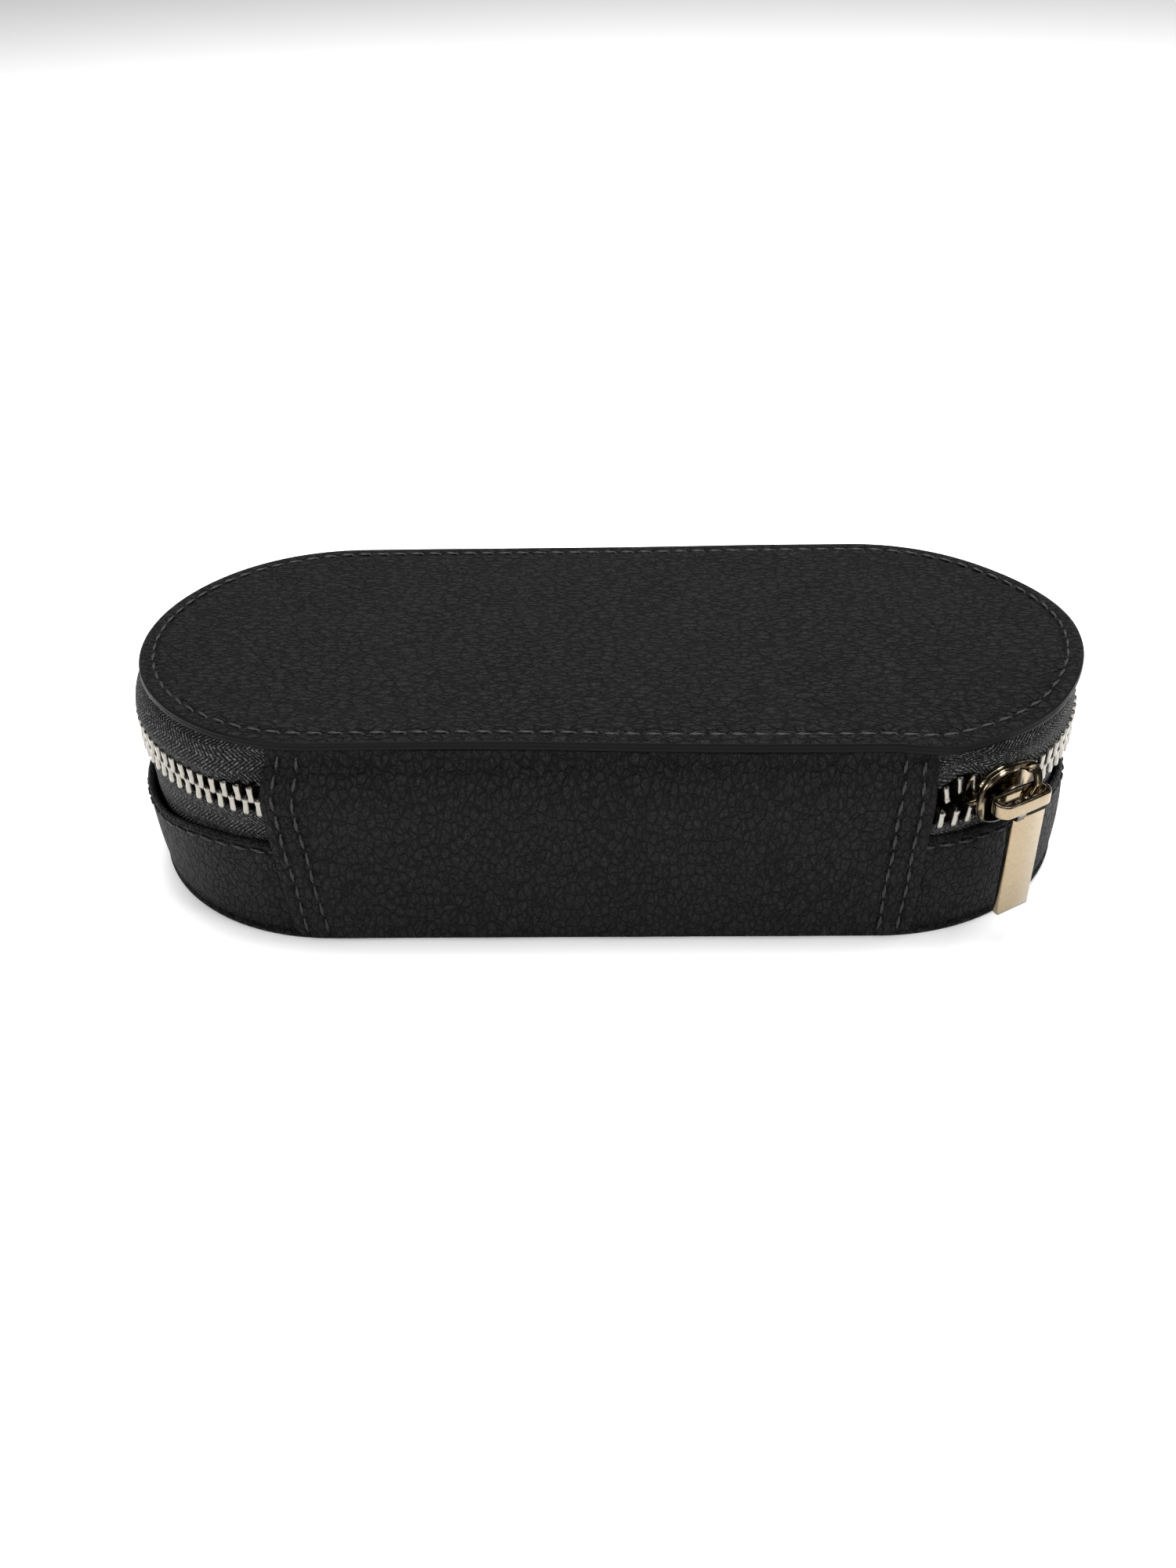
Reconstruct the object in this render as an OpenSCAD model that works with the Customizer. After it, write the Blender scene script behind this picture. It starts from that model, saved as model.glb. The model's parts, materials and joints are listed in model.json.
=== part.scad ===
// Zip-around oblong leather jewellery case.
// Origin: centre of the underside. +X along the case, -Y towards the leather spine, +Z up.

/* [Case outline] */
// Distance between the centres of the two round ends
end_spacing = 98.4; // [80:0.2:120]
// Radius of the lid's round ends
lid_radius = 36.2; // [34.8:0.1:36.4]
// Overall height of the closed case
case_h = 42; // [40.5:0.5:46]
// Thickness of the lid's leather panel at its painted edge
lid_edge_t = 2; // [1.6:0.1:2.6]
// Width of the leather spine panel along the case
spine_w = 111; // [104:1:116]

/* [Base] */
// Thickness of the leather-covered bottom panel
bottom_t = 1.5; // [1.2:0.1:2.5]
// Height of the turned top edge of the leather wall
wall_top_z = 21; // [19:0.5:22]
// Outer radius of the leather wall's round ends
wall_radius = 37.6; // [37.5:0.1:37.7]
// How far the bottom panel stands out past the wall
bottom_lip = 0.2; // [0.1:0.1:0.8]

/* [Zip] */
// Height of the middle of the zip chain
chain_z = 28.8; // [28.4:0.1:29.2]
// Radius of the chain's middle on the round ends
chain_radius = 37.1; // [37:0.05:37.2]
// Distance from one tooth to the next on the same tape
tooth_pitch = 2.44; // [2.2:0.02:2.8]
// Width of the chain across both rows of teeth
chain_w = 5.8; // [5.4:0.1:6]
// Thickness of the teeth
tooth_t = 2.2; // [1.8:0.1:2.4]
// Where the slider stands on the right round end, in degrees from the front
slider_angle = 32; // [30:0.5:60]

/* [Puller] */
// Length of the puller, ring included
puller_l = 23.8; // [20:0.2:26]
// Width of the flat pull bar
puller_w = 7.2; // [5:0.2:7.4]
// Thickness of the flat pull bar
puller_t = 1.7; // [1.2:0.1:2]

/* [Inside] */
// Radius of each ring roll
roll_radius = 5.4; // [4.5:0.1:5.5]
// Number of ring rolls side by side
roll_count = 5; // [5:1:5]
// Half the length of the ring section between the two cross dividers
ring_section = 28; // [22:1:36]

/* [Hidden] */
$fn = 96;
half = end_spacing / 2;
lid_bottom_z = case_h - lid_edge_t;
leather_t = 1.1;
tape_t = 0.6;
fit_gap = 0.1;
hinge_z = 30;
hinge_gap = 0.2;
spine_radius = wall_radius + leather_t;
wall_inner = wall_radius - leather_t;
tape_base = wall_inner - fit_gap - tape_t;
stiffener_t = 1.5;
stiffener_top_z = wall_top_z - 1.5;
stiffener_outer = tape_base - fit_gap;
lining_t = 0.7;
lining_outer = stiffener_outer - stiffener_t - fit_gap;
lining_inner = lining_outer - lining_t;
tape_lap = 10;
tape_low = chain_radius - tape_t / 2;
chain_low_z = chain_z - chain_w / 2;
chain_high_z = chain_z + chain_w / 2;
row_gap = 1;
stop_t = 1.4;
tooth_h = (chain_w - row_gap) / 2;
tooth_w = 1.3;
tape_end_x = spine_w / 2 - 1.5;
first_tooth_angle = 9;
arc_run = chain_radius * (180 - first_tooth_angle) * PI / 180;
chain_run = 2 * arc_run + end_spacing;
tooth_count = floor(chain_run / tooth_pitch);
lid_fold = 2.7;
tape_top = tape_low - 1.7;
floor_z = bottom_t + 1.7;
fittings_h = 16;
divider_t = 2.4;
roll_pitch = 2 * roll_radius + 0.4;
roll_cut = 4.6;
slider_h = 10.2;
slider_half_angle = 9;
plate_t = 1;
run_gap = 0.35;
lip_t = 0.7;
wedge_angle = 5.5;
weld = 0.3;
outer_plate = chain_radius + tooth_t / 2 + run_gap;
inner_plate = chain_radius - tooth_t / 2 - run_gap;
bridge_reach = 3.6;
bridge_w = 1.8;
bridge_t = 0.9;
bridge_h = 8.6;
bridge_side = 1.4;
ring_l = 12.4;
ring_depth = 5.4;
ring_band = 0.9;
ring_h = 2.6;
ring_side = -2.4;
ring_radius = outer_plate + plate_t + bridge_reach - bridge_t / 2;
ring_z = chain_z - 0.3;
bar_side = -0.4;
bar_step = 0.8;
bar_lean = 0.4;
bar_root_t = 1;
bar_root_h = 3.2;
mirror_radius = 25;
mirror_t = 1.2;
lid_lining_radius = 33.6;
lid_lining_t = 1.6;
board_t = 0.8;
board_radius = 33.3;

// A flat oblong with round ends
module oblong(r) {
    union() {
        translate([-half, 0]) circle(r);
        translate([half, 0]) circle(r);
        translate([-half, -r]) square([end_spacing, 2 * r]);
    }
}

module slab(r, low_z, high_z) {
    translate([0, 0, low_z]) linear_extrude(high_z - low_z) oblong(r);
}

// A wall of constant section all round the oblong
module band(inner, outer, low_z, high_z) {
    difference() {
        slab(outer, low_z, high_z);
        slab(inner, low_z - 1, high_z + 1);
    }
}

// The same, for any section given as radius and height points
module swept_band(section) {
    union() {
        translate([half, 0, 0]) rotate([0, 0, -90])
            rotate_extrude(angle = 180) polygon(section);
        translate([-half, 0, 0]) rotate([0, 0, 90])
            rotate_extrude(angle = 180) polygon(section);
        for (turn = [0, 180]) rotate([0, 0, turn])
            translate([-half, 0, 0]) rotate([90, 0, 90])
                linear_extrude(end_spacing) polygon(section);
    }
}

// The front stretch of the outline that the spine panel covers
module front_window(width) {
    translate([-width / 2, -lid_radius - 10, -10]) cube([width, 40, case_h + 20]);
}

// Puts a child on the chain, u mm along it from the spine's left edge, with +Y facing out
module on_chain(u) {
    turn = first_tooth_angle + u / chain_radius * 180 / PI;
    back = first_tooth_angle + (chain_run - u) / chain_radius * 180 / PI;
    if (u < arc_run)
        translate([-half, 0, 0]) rotate([0, 0, 180 - turn])
            translate([0, chain_radius, 0]) children();
    else if (u < arc_run + end_spacing)
        translate([u - arc_run - half, chain_radius, 0]) children();
    else
        translate([half, 0, 0]) rotate([0, 0, 180 + back])
            translate([0, chain_radius, 0]) children();
}

module tooth_row(low_z, shift) {
    for (i = [0 : tooth_count - 2])
        on_chain((i + 0.5 + shift) * tooth_pitch)
            translate([-tooth_w / 2, -tooth_t / 2, low_z]) cube([tooth_w, tooth_t, tooth_h]);
}

// Local frame at the slider: +X along the chain, +Y out from the round end's centre
module at_slider() {
    translate([half, 0, 0]) rotate([0, 0, 180 + slider_angle]) mirror([1, 0, 0]) children();
}

module arc_plate(inner, outer, low_z, high_z, half_angle) {
    translate([0, 0, low_z]) rotate([0, 0, 90 - half_angle])
        rotate_extrude(angle = 2 * half_angle)
            translate([inner, 0]) square([outer - inner, high_z - low_z]);
}

module bottom_panel() {
    color("#1c1c1d") slab(wall_radius + bottom_lip, 0, bottom_t);
}

module floor_pad() {
    color("#4a4541") slab(lining_inner - fit_gap, bottom_t, floor_z);
}

module wall_leather() {
    color("#262627") band(wall_inner, wall_radius, bottom_t, wall_top_z);
}

module wall_stiffener() {
    color("#b9b2a4")
        band(stiffener_outer - stiffener_t, stiffener_outer, bottom_t, stiffener_top_z);
}

module wall_lining() {
    color("#4a4541") band(lining_inner, lining_outer, bottom_t, wall_top_z + 0.5);
}

module spine_base_panel() {
    color("#262627") intersection() {
        band(wall_radius, spine_radius, bottom_t, hinge_z - hinge_gap);
        front_window(spine_w);
    }
}

module hinge_lining_base() {
    color("#4a4541") intersection() {
        band(wall_inner + 0.2, wall_inner + 0.2 + lining_t, wall_top_z + fit_gap,
            hinge_z - hinge_gap);
        front_window(2 * tape_end_x - 2);
    }
}

module lower_tape() {
    color("#1a1a1b") difference() {
        swept_band([[tape_base, wall_top_z - tape_lap],
            [tape_base + tape_t, wall_top_z - tape_lap],
            [tape_base + tape_t, wall_top_z + 0.2], [tape_low + tape_t, chain_low_z],
            [tape_low, chain_low_z], [tape_base, wall_top_z + 0.2]]);
        front_window(2 * tape_end_x);
    }
}

module lower_teeth() {
    color("#c8c2b6") tooth_row(chain_low_z, 0.5);
}

// Metal stops crimped to the lower tape's two ends, under the spine panel's edges
module end_stops() {
    color("#c8c2b6")
        for (u = [0.3 * tooth_pitch, chain_run - 0.3 * tooth_pitch])
            on_chain(u)
                translate([-0.6, -tooth_t / 2, chain_low_z]) cube([1.2, stop_t, tooth_h]);
}

module cross_divider(x) {
    half_y = lining_inner - 0.4;
    color("#4a4541") translate([x - divider_t / 2, -half_y, floor_z])
        cube([divider_t, 2 * half_y, fittings_h]);
}

module long_divider() {
    start_x = ring_section + divider_t + fit_gap;
    end_x = half + lining_inner - 0.6;
    color("#4a4541") translate([start_x, -divider_t / 2, floor_z])
        cube([end_x - start_x, divider_t, fittings_h]);
}

// A foam roll covered in velvet, flat where it is glued to the floor
module ring_roll(number) {
    roll_l = 2 * ring_section - 0.6;
    color("#5a544e") translate([-roll_l / 2, (number - (roll_count + 1) / 2) * roll_pitch, floor_z])
        rotate([90, 0, 90]) linear_extrude(roll_l) intersection() {
            translate([0, roll_cut]) circle(roll_radius);
            translate([-roll_radius, 0]) square([2 * roll_radius, 2 * roll_radius]);
        }
}

// Two curved plates joined by the wedge that parts the rows at the wide end
module slider_body() {
    low_z = chain_z - slider_h / 2;
    color("#cdbb98") at_slider() union() {
        arc_plate(outer_plate, outer_plate + plate_t, low_z, low_z + slider_h, slider_half_angle);
        arc_plate(inner_plate - plate_t, inner_plate, low_z, low_z + slider_h,
            slider_half_angle);
        arc_plate(outer_plate - lip_t, outer_plate + weld, low_z, chain_low_z - 0.6,
            slider_half_angle);
        rotate([0, 0, wedge_angle]) arc_plate(inner_plate - weld, outer_plate + weld,
            chain_z - 0.35, chain_z + 0.35, wedge_angle / 2);
    }
}

// A strap that arches over the outer plate and carries the puller's ring
module slider_bridge() {
    foot = outer_plate + plate_t;
    color("#bba884") at_slider() difference() {
        translate([bridge_side - bridge_w / 2, foot - 1, chain_z - bridge_h / 2])
            cube([bridge_w, bridge_reach + 1, bridge_h]);
        translate([bridge_side - bridge_w, foot - 1, chain_z - bridge_h / 2 + bridge_t])
            cube([2 * bridge_w, bridge_reach + 1 - bridge_t, bridge_h - 2 * bridge_t]);
        translate([0, 0, chain_z - bridge_h]) cylinder(r = foot, h = 2 * bridge_h, $fn = 96);
    }
}

module rounded_ring(length, depth, height) {
    translate([-(length - depth) / 2, 0, 0]) cylinder(d = depth, h = height);
    translate([(length - depth) / 2, 0, 0]) cylinder(d = depth, h = height);
    translate([-(length - depth) / 2, -depth / 2, 0]) cube([length - depth, depth, height]);
}

// A level ring round the bridge, and the flat bar that hangs from it a step behind its front,
// thin at its root to stay clear of the bridge
module puller() {
    top_z = ring_z + ring_h / 2;
    front = ring_radius + ring_depth / 2;
    face = front - bar_step;
    root_z = top_z - ring_h - bar_root_h;
    root_lean = bar_lean * bar_root_h / (puller_l - ring_h);
    color("#d2bf9c") at_slider() union() {
        translate([ring_side, ring_radius, top_z - ring_h]) difference() {
            rounded_ring(ring_l, ring_depth, ring_h);
            translate([0, 0, -1]) rounded_ring(ring_l - 2 * ring_band,
                ring_depth - 2 * ring_band, ring_h + 2);
        }
        translate([bar_side - puller_w / 2, 0, 0]) rotate([90, 0, 90])
            linear_extrude(puller_w) polygon([[front - ring_band, top_z],
                [front, top_z], [front, top_z - ring_h], [face, top_z - ring_h],
                [face - bar_lean, top_z - puller_l],
                [face - bar_lean - puller_t, top_z - puller_l],
                [face - root_lean - puller_t, root_z], [face - bar_root_t, root_z + 0.6],
                [face - bar_root_t, top_z - ring_h], [front - ring_band, top_z - ring_h]]);
    }
}

// The top panel, recessed underneath for its board
module lid_leather() {
    color("#262627") difference() {
        slab(lid_radius, lid_bottom_z, case_h);
        slab(board_radius + fit_gap, lid_bottom_z - 1, lid_bottom_z + board_t);
    }
}

module lid_stiffener() {
    color("#b9b2a4") slab(board_radius, lid_bottom_z, lid_bottom_z + board_t);
}

// The lid's inner face, with a window for the mirror
module lid_lining() {
    color("#4a4541") difference() {
        slab(lid_lining_radius, lid_bottom_z - lid_lining_t, lid_bottom_z);
        slab(mirror_radius + fit_gap, lid_bottom_z - lid_lining_t - 1,
            lid_bottom_z - lid_lining_t + mirror_t);
    }
}

module mirror_plate() {
    color("#c9d0d4")
        slab(mirror_radius, lid_bottom_z - lid_lining_t, lid_bottom_z - lid_lining_t + mirror_t);
}

// The spine above the fold, leaning in to tuck under the lid's edge
module spine_lid_panel() {
    low_z = hinge_z + hinge_gap;
    high_z = lid_bottom_z - fit_gap;
    color("#262627") intersection() {
        swept_band([[wall_radius, low_z], [spine_radius, low_z],
            [spine_radius - lid_fold, high_z], [wall_radius - lid_fold, high_z]]);
        front_window(spine_w);
    }
}

module hinge_lining_lid() {
    low_z = hinge_z + hinge_gap;
    high_z = lid_bottom_z - lid_lining_t - 0.2;
    lean = lid_fold * (high_z - low_z) / (lid_bottom_z - low_z);
    face = wall_radius - fit_gap;
    color("#4a4541") intersection() {
        swept_band([[face - lining_t, low_z], [face, low_z],
            [face - lean, high_z], [face - lining_t - lean, high_z]]);
        front_window(2 * tape_end_x - 2);
    }
}

module upper_tape() {
    color("#1a1a1b") difference() {
        swept_band([[tape_low, chain_high_z], [tape_low + tape_t, chain_high_z],
            [tape_top + tape_t, lid_bottom_z - fit_gap], [tape_top, lid_bottom_z - fit_gap]]);
        front_window(spine_w + 0.2);
    }
}

module upper_teeth() {
    color("#c8c2b6") tooth_row(chain_high_z - tooth_h, 0);
}

bottom_panel();
floor_pad();
wall_leather();
wall_stiffener();
wall_lining();
spine_base_panel();
hinge_lining_base();
lower_tape();
lower_teeth();
end_stops();
cross_divider(-ring_section - divider_t / 2);  // cross_divider_left
cross_divider(ring_section + divider_t / 2);  // cross_divider_right
long_divider();
ring_roll(1);  // ring_roll_1
ring_roll(2);  // ring_roll_2
ring_roll(3);  // ring_roll_3
ring_roll(4);  // ring_roll_4
ring_roll(5);  // ring_roll_5
slider_body();
slider_bridge();
puller();
lid_leather();
lid_stiffener();
lid_lining();
mirror_plate();  // mirror
spine_lid_panel();
hinge_lining_lid();
upper_tape();
upper_teeth();
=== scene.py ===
"""Looks of the zip-around leather jewellery case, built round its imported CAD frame.

Pieces are worked out in millimetres and turned into metres when a mesh is made.
The outline is an oblong: u runs along it in mm from the middle of the spine, to the right first,
r is the distance out from the oblong's centre line, and z is the height.
"""
import json
import math

import bpy
import bmesh
import numpy as np
from mathutils import Matrix, Vector


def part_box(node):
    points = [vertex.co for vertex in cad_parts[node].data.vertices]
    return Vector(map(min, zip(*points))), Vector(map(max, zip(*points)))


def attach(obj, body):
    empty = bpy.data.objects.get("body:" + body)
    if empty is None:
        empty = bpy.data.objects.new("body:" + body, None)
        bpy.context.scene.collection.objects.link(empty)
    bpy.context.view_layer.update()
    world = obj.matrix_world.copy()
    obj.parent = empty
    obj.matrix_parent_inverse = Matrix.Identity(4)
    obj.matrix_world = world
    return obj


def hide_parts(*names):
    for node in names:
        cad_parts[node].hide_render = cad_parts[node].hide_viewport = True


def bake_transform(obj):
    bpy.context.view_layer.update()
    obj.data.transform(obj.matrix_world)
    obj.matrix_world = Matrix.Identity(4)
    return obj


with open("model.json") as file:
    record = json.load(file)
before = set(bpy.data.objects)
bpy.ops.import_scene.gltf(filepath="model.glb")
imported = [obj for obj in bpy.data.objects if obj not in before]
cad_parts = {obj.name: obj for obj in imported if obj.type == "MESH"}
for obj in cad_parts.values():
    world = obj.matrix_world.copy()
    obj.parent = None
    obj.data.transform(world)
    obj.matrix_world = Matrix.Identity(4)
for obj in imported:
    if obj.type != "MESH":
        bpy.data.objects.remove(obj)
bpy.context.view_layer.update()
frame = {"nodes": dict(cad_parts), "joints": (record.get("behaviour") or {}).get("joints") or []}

MM = 0.001
RNG = np.random.default_rng(7)


def node_box(name):
    """Lowest and highest corner of a CAD node in millimetres."""
    low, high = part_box(name)
    return np.array(low) / MM, np.array(high) / MM


# Driving sizes, read from the frame
LID_LOW, LID_HIGH = node_box("lid_leather")
LID_R = LID_HIGH[1]
HALF = LID_HIGH[0] - LID_R
TOP_Z = LID_HIGH[2]
LID_Z = LID_LOW[2]
BASE_R = node_box("bottom_panel")[1][1]
BASE_Z = node_box("bottom_panel")[1][2]
WALL_R = node_box("wall_leather")[1][1]
WALL_TOP = node_box("wall_leather")[1][2]
SPINE_LOW, SPINE_HIGH = node_box("spine_base_panel")
SPINE_X = SPINE_HIGH[0]
SPINE_R = -SPINE_LOW[1]
LOWER_ROW = node_box("lower_teeth")
UPPER_ROW = node_box("upper_teeth")
CHAIN_LOW = LOWER_ROW[0][2]
CHAIN_HIGH = UPPER_ROW[1][2]
CHAIN_Z = (CHAIN_LOW + CHAIN_HIGH) / 2
TOOTH_T = 2.2
CHAIN_R = UPPER_ROW[1][1] - TOOTH_T / 2
JOINTS = {j["name"]: j for j in frame["joints"]}
HINGE = np.array(JOINTS["lid_hinge"]["pos_m"]) / MM
SWING = JOINTS["puller_swing"]
RING_Z = SWING["pos_m"][2] / MM
SLIDER_ANGLE = math.atan2(-SWING["axis"][1], -SWING["axis"][0])
SLIDER_DEG = math.degrees(SLIDER_ANGLE)
RING_N = math.hypot(SWING["pos_m"][0] / MM - HALF, SWING["pos_m"][1] / MM)
SLIDER_Z = JOINTS["slider_travel"]["pos_m"][2] / MM
FLOOR_Z = node_box("floor_pad")[1][2]
LEATHER_T = 1.1
STITCH_PITCH = 3.6
RUN_R = 36.0        # distances along the outline are measured at this radius
LID_DROOP = 2.2     # how far the soft lid hangs down at the slider
FRONT_SAG = 1.3     # and along the front
END_FLARE = 1.9     # how far its right end stands out
# Seeds of the gentle waves
LID_WAVE, WALL_WAVE, WALL_EDGE_WAVE, PAINT_WAVE, TAPE_WAVE = 3, 5, 9, 11, 21

# ---------------------------------------------------------------- the oblong outline


def lap(radius=RUN_R):
    """Length of one turn of the oblong at a radius."""
    return 4 * HALF + math.tau * radius


TURN = lap()


def station(u):
    """Centre-line points, outward normals and tangents for distances u along the outline."""
    u = np.mod(np.asarray(u, float), TURN)
    arc = math.pi * RUN_R
    right = np.clip((u - HALF) / RUN_R, 0, math.pi)
    left = np.clip((u - 3 * HALF - arc) / RUN_R, 0, math.pi)
    angle = right + left
    on_front = (u < HALF) | (u > 3 * HALF + 2 * arc)
    x = np.where(u < HALF, u, HALF)
    back = np.clip(u - HALF - arc, 0, 2 * HALF)
    x = np.where(u > HALF, HALF - back, x)
    last = np.clip(u - 3 * HALF - 2 * arc, 0, HALF)
    x = np.where(on_front & (u > TURN / 2), -HALF + last, x)
    centre = np.stack([x, np.zeros_like(x), np.zeros_like(x)], -1)
    normal = np.stack([np.sin(angle), -np.cos(angle), np.zeros_like(x)], -1)
    tangent = np.stack([np.cos(angle), np.sin(angle), np.zeros_like(x)], -1)
    return centre, normal, tangent


def end_u(degrees, right=True):
    """Distance along the outline to an angle on the right or left round end."""
    run = HALF + math.radians(degrees) * RUN_R
    return run if right else TURN - run


# The spine panel's right edge, and the middle of the wall's soft stretch at the left end
SPINE_EDGE = end_u(math.degrees(math.asin((SPINE_X - HALF) / SPINE_R)))
LEFT_END = end_u(80, right=False)


def along(u, r, z):
    """Points at distance u, radius r and height z. The three broadcast together."""
    u, r, z = np.broadcast_arrays(np.asarray(u, float), r, z)
    centre, normal, _ = station(u)
    points = centre + normal * r[..., None]
    points[..., 2] = z
    return points


def smooth(t):
    """An even step from 0 at t 0 to 1 at t 1."""
    t = np.clip(t, 0, 1)
    return t * t * (3 - 2 * t)


def window(x, start, rise, end, fall):
    """Rises from 0 to 1 past start and falls back to 0 past end."""
    return smooth((x - start) / rise) * (1 - smooth((x - end) / fall))


def bell(x, width, power=2):
    """1 at x 0, falling to 0 on both sides over about a width."""
    return np.exp(-(x / width) ** power)


def fade(distance, reach):
    """1 at distance 0 and less beyond it."""
    return np.exp(-np.clip(distance, 0, 99) / reach)


def around(count):
    """Angles of one turn, in radians."""
    return np.linspace(0, math.tau, count, endpoint=False)


def on_left(u, width):
    """1 at the left end and 0 away from it."""
    return bell(np.mod(u, TURN) - LEFT_END, width, 4)


def past_spine(u):
    """Distance along the outline from the spine's nearer edge."""
    turned = np.mod(u, TURN)
    return np.minimum(turned, TURN - turned) - SPINE_EDGE


def ripple(u, seed, waves=(3, 5, 8, 13)):
    """A gentle closed wave along the outline, about -1 to 1."""
    rng = np.random.default_rng(seed)
    total = np.zeros_like(np.asarray(u, float))
    for wave in waves:
        total = total + np.sin(math.tau * wave * np.asarray(u) / TURN + rng.uniform(0, 6.28)) / wave
    return total * 1.6


def end_angle(points):
    """Degrees from the front on the right round end, 0 on the straight front."""
    x = points[..., 0] - HALF
    return np.degrees(np.arctan2(np.maximum(x, 0), -points[..., 1]))


def right_radius(points):
    """Distance from the middle of the right round end, or from the centre line left of it."""
    return np.hypot(np.maximum(points[..., 0] - HALF, 0), points[..., 1])


def sink(points):
    """How far the lid's soft edge hangs down, in mm: most at the slider, less along the front."""
    slider = window(end_angle(points), -6, 28, 34, 40) * fade(LID_R - right_radius(points), 7.0)
    front = window(points[..., 0], -30, 60, 62, 20) * fade(LID_R + points[..., 1], 9.0)
    return LID_DROOP * slider + FRONT_SAG * front


def flare(points):
    """How far the lid's right end stands out past its round outline, in mm."""
    rim = smooth((right_radius(points) - 24) / (LID_R - 24))
    return END_FLARE * window(end_angle(points), 22, 32, 90, 45) * rim


def settle(points):
    """Bends lid pieces with the lid's soft edge."""
    points = points.copy()
    shift, drop = flare(points), sink(points)
    radius = np.maximum(np.hypot(points[..., 0] - HALF, points[..., 1]), 1)
    outward = np.stack([(points[..., 0] - HALF) / radius, points[..., 1] / radius], -1)
    points[..., :2] += outward * shift[..., None]
    points[..., 2] -= drop
    return points


# ---------------------------------------------------------------- mesh helpers


# Distances in metres within which points are merged
MERGE, MERGE_PLATE, MERGE_FINE = 1e-6, 2e-5, 1e-7


def shade(mesh, soft=True):
    mesh.polygons.foreach_set("use_smooth", [soft] * len(mesh.polygons))


def make(name, verts, faces, soft=True):
    """A mesh object from points in millimetres."""
    mesh = bpy.data.meshes.new(name)
    mesh.from_pydata((np.asarray(verts, float) * MM).tolist(), [], faces)
    mesh.validate()
    mesh.update()
    if soft:
        shade(mesh)
    thing = bpy.data.objects.new(name, mesh)
    bpy.context.scene.collection.objects.link(thing)
    return thing


def set_attribute(thing, name, values):
    layer = thing.data.attributes.new(name, "FLOAT", "POINT")
    layer.data.foreach_set("value", np.asarray(values, np.float32).ravel())


def grid_faces(rows, columns, close_rows=False, close_columns=False, start=0):
    """Quads of a grid whose points are stored row by row."""
    faces = []
    for i in range(rows if close_rows else rows - 1):
        a, b = i * columns, ((i + 1) % rows) * columns
        for j in range(columns if close_columns else columns - 1):
            k = (j + 1) % columns
            faces.append((start + a + j, start + b + j, start + b + k, start + a + k))
    return faces


def grid(name, points, close_rows=False, close_columns=False, lengths=None):
    """A grid of points as a mesh. lengths are distances along the rows, kept with across for a weave."""
    rows, columns = points.shape[:2]
    thing = make(name, points.reshape(-1, 3), grid_faces(rows, columns, close_rows, close_columns))
    if lengths is not None:
        step = np.linalg.norm(np.diff(points, axis=1), axis=-1)
        across = np.concatenate([np.zeros((rows, 1)), np.cumsum(step, 1)], 1)
        set_attribute(thing, "along", np.broadcast_to(np.asarray(lengths)[:, None], (rows, columns)))
        set_attribute(thing, "across", across)
    return thing


def rework(thing, change):
    """Runs a change on a thing's mesh, then turns its faces outward and shades it softly."""
    work = bmesh.new()
    work.from_mesh(thing.data)
    work.verts.ensure_lookup_table()
    change(work)
    bmesh.ops.recalc_face_normals(work, faces=work.faces)
    work.to_mesh(thing.data)
    work.free()
    shade(thing.data)
    return thing


def closed_band(name, us, outer, inner):
    """A closed thin sheet between an outer and an inner grid of points, with both ends capped."""
    loop = np.concatenate([outer, inner[:, ::-1]], 1)
    columns = loop.shape[1]

    def cap(work):
        for row in (0, (len(us) - 1) * columns):
            for j in range(columns // 2 - 1):
                corners = (row + j, row + j + 1, row + columns - 2 - j, row + columns - 1 - j)
                work.faces.new([work.verts[i] for i in corners])

    return rework(grid(name, loop, False, True, us), cap)


def points_of(thing):
    """A mesh's points, in mm."""
    points = np.zeros(len(thing.data.vertices) * 3, np.float32)
    thing.data.vertices.foreach_get("co", points)
    return points.reshape(-1, 3).astype(float) / MM


def move_points(thing, points):
    """Gives a mesh new point places, in mm."""
    thing.data.vertices.foreach_set("co", (points * MM).ravel())
    thing.data.update()


def tidy_mesh(thing, distance=MERGE):
    """Merges doubled points and turns faces outward."""

    def merge(work):
        bmesh.ops.remove_doubles(work, verts=work.verts, dist=distance)
        bmesh.ops.dissolve_degenerate(work, edges=work.edges, dist=MERGE_FINE)

    return rework(thing, merge)


def outline_us(step):
    """Distances along the whole outline, about step mm apart."""
    return np.linspace(0, TURN, int(round(TURN / step)) + 1)


def ring_sweep(name, section, step, wobble=None):
    """Sweeps a closed section of (r, z) points all the way round the outline."""
    us = outline_us(step)[:-1]
    section = np.asarray(section, float)
    r = np.broadcast_to(section[:, 0], (len(us), len(section))).copy()
    z = np.broadcast_to(section[:, 1], (len(us), len(section))).copy()
    if wobble is not None:
        r, z = wobble(us[:, None], r, z)
    return grid(name, along(us[:, None], r, z), True, True, us)


def slab_sweep(name, section, step, bend=None):
    """A plate: the section runs from the top's middle, out round the edge, to the underside's middle."""
    us = outline_us(step)[:-1]
    section = np.asarray(section, float)
    points = along(us[:, None], section[None, :, 0], section[None, :, 1])
    if bend is not None:
        points = bend(points)
    return tidy_mesh(grid(name, points, True, False), MERGE_PLATE)


def arc_points(cx, cy, radius, start, end, count):
    """Points of a round corner, in degrees."""
    angles = np.radians(np.linspace(start, end, count))
    return [(cx + radius * math.cos(a), cy + radius * math.sin(a)) for a in angles]


def loft(rings):
    """Points and faces of a skin over closed rings of points, capped at both ends."""
    sides = len(rings[0])
    faces = grid_faces(len(rings), sides, False, True)
    faces.append(tuple(range(sides)))
    faces.append(tuple(reversed(range((len(rings) - 1) * sides, len(rings) * sides))))
    return np.concatenate(rings), faces


def level(x, y, z):
    """A ring of points at one height."""
    return np.stack([x, y, np.full(len(x), z)], 1)


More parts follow.
